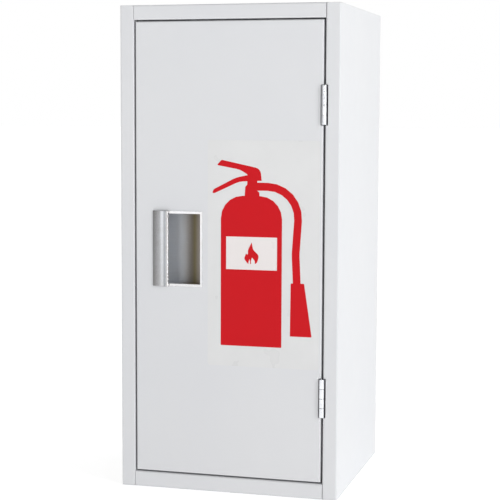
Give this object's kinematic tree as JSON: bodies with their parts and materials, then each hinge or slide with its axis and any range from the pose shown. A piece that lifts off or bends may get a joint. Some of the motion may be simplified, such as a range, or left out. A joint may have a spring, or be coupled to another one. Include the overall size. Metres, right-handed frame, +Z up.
{
  "type": "fire extinguisher cabinet",
  "caption": "White folded-steel wall cabinet with a hinged door, recessed steel pull and red pictogram, holding a portable fire extinguisher with lever, hose and gauge.",
  "frame": {"origin": "middle of the cabinet's foot, on the surface that it stands on", "axes": "+Z up along the height; the door and its pull face -Y; +X is towards the hinged edge"},
  "size_m": [0.3, 0.2848, 0.65],
  "materials": {
    "powder_coat": "satin powder coat, fine orange peel",
    "hinge_zinc": "bright zinc plate",
    "zinc_hardware": "zinc plate",
    "stainless": "brushed along the height",
    "clear_film": "clear film, satin",
    "red_print": "printed red, semi-gloss",
    "ivory_plastic": "moulded",
    "magnet": "ferrite",
    "black_rubber": "matt",
    "red_paint": "gloss",
    "black_plastic": "moulded",
    "label": "printed film, no words",
    "brass": "turned",
    "white_plastic": "extruded",
    "black_paint": "semi-gloss",
    "chrome": "bright",
    "dial": "printed, no words",
    "needle": "matt",
    "lens": "clear"
  },
  "bodies": {
    "cabinet": {"side_left": "powder_coat", "side_right": "powder_coat", "top_panel": "powder_coat", "bottom_panel": "powder_coat", "back_panel": "powder_coat", "frame_leaves": "hinge_zinc", "hinge_pins": "hinge_zinc", "frame_rivets": "zinc_hardware", "catch_housing": "ivory_plastic", "catch_magnet": "magnet", "catch_screws": "zinc_hardware", "buffers": "black_rubber", "bracket": "zinc_hardware", "bracket_screws": "zinc_hardware"},
    "door": {"door_skin": "powder_coat", "door_stiffener": "powder_coat", "door_leaves": "hinge_zinc", "door_rivets": "zinc_hardware", "strike_plate": "zinc_hardware", "strike_rivets": "zinc_hardware", "pull_cup": "stainless", "pull_grip": "stainless", "pull_bridge": "zinc_hardware", "pull_nut": "zinc_hardware", "decal_film": "clear_film", "pictogram": "red_print"},
    "extinguisher": {"pressure_cylinder": "red_paint", "foot_boot": "black_plastic", "cylinder_label": "label", "valve_body": "brass", "neck_seal": "black_rubber", "dip_tube": "white_plastic", "carry_handle": "black_paint", "handle_rivets": "zinc_hardware", "gauge_case": "chrome", "gauge_dial": "dial", "gauge_needle": "needle", "gauge_lens": "lens", "hose": "black_rubber", "hose_fitting": "brass", "nozzle": "black_plastic", "nozzle_clip": "black_plastic", "valve_spring": "zinc_hardware"},
    "lever": {"squeeze_lever": "black_paint"},
    "stem": {"valve_stem": "zinc_hardware", "stem_seal": "black_rubber"},
    "safety_pin": {"safety_pin": "zinc_hardware", "pin_ring": "zinc_hardware"}
  },
  "joints": [
    {"name": "door_hinge", "type": "hinge", "parent": "cabinet", "child": "door", "pos_m": [0.1292, -0.1415, 0.325], "axis": [0, 0, 1], "range_deg": [0, 175]},
    {"name": "extinguisher_lift", "type": "slide", "parent": "cabinet", "child": "extinguisher", "axis": [0, 0, 1], "range_m": [0, 0.06]},
    {"name": "lever_squeeze", "type": "hinge", "parent": "extinguisher", "child": "lever", "pos_m": [0.0145, 0.045, 0.4782], "axis": [0, -1, 0], "range_deg": [0, 12], "stiffness_Nm_per_rad": 5, "springref_deg": -5.73},
    {"name": "stem_press", "type": "slide", "parent": "extinguisher", "child": "stem", "axis": [0, 0, -1], "range_m": [0, 0.0031], "deforming": ["valve_spring"]},
    {"name": "safety_pin_pull", "type": "slide", "parent": "extinguisher", "child": "safety_pin", "axis": [0, -1, 0], "range_m": [0, 0.04]}
  ],
  "couplings": [
    {"joint": "stem_press", "follows": "lever_squeeze", "m_per_rad": 0.0145}
  ]
}
